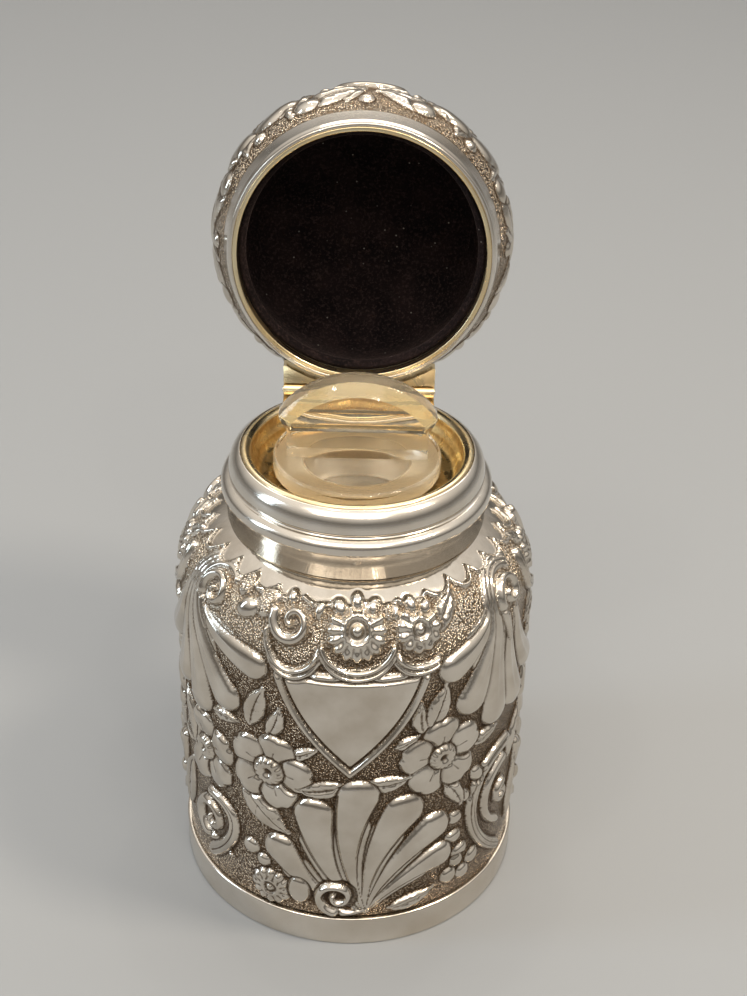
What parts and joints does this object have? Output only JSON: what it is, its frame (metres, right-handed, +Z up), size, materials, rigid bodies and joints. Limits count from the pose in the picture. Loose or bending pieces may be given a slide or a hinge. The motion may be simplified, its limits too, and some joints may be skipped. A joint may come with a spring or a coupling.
{
  "type": "cologne bottle",
  "caption": "Round cased cologne bottle: a chased metal case round a glass bottle, with a hinged domed lid, soft-lined inside, and a ground glass stopper with a half-moon grip.",
  "frame": {"origin": "on the bottle's axis, on the underside of its base", "axes": "+Z up along the bottle's axis, -Y towards the front, +Y towards the hinge"},
  "size_m": [0.0672, 0.0929, 0.1405],
  "materials": {
    "silver_chased": "chased silver, darkened in the recesses and polished on the raised forms",
    "silver_plain": "polished silver with fine wear",
    "silver_gilt": "gilded silver, satin",
    "glass": "clear, ground on the plug",
    "velvet": "deep burgundy-black velvet pile",
    "card": "pressed card, not seen",
    "cork": "cork sheet, not seen",
    "plaster": "dry packing, not seen"
  },
  "bodies": {
    "bottle": {"base_plate": "silver_plain", "foot_band": "silver_plain", "case_wall": "silver_chased", "neck_collar": "silver_plain", "neck_gilt_dish": "silver_gilt", "glass_bottle": "glass", "bottle_bed": "cork", "neck_packing": "plaster", "body_hinge_leaf": "silver_plain", "body_knuckle_left": "silver_plain", "body_knuckle_middle": "silver_plain", "body_knuckle_right": "silver_plain", "hinge_pin": "silver_plain"},
    "stopper": {"glass_stopper": "glass"},
    "lid": {"lid_rim": "silver_plain", "lid_gilt_liner": "silver_gilt", "lid_dome": "silver_chased", "lid_former": "card", "lid_hinge_leaf": "silver_gilt", "lid_knuckle_left": "silver_plain", "lid_knuckle_right": "silver_plain", "velvet_lining": "velvet"}
  },
  "joints": [
    {"name": "lid_hinge", "type": "hinge", "parent": "bottle", "child": "lid", "pos_m": [0, 0.0267, 0.0871], "axis": [-1, 0, 0], "range_deg": [-97, 0]},
    {"name": "stopper_lift", "type": "slide", "parent": "bottle", "child": "stopper", "axis": [0, 0, 1], "range_m": [0, 0.0065]}
  ]
}
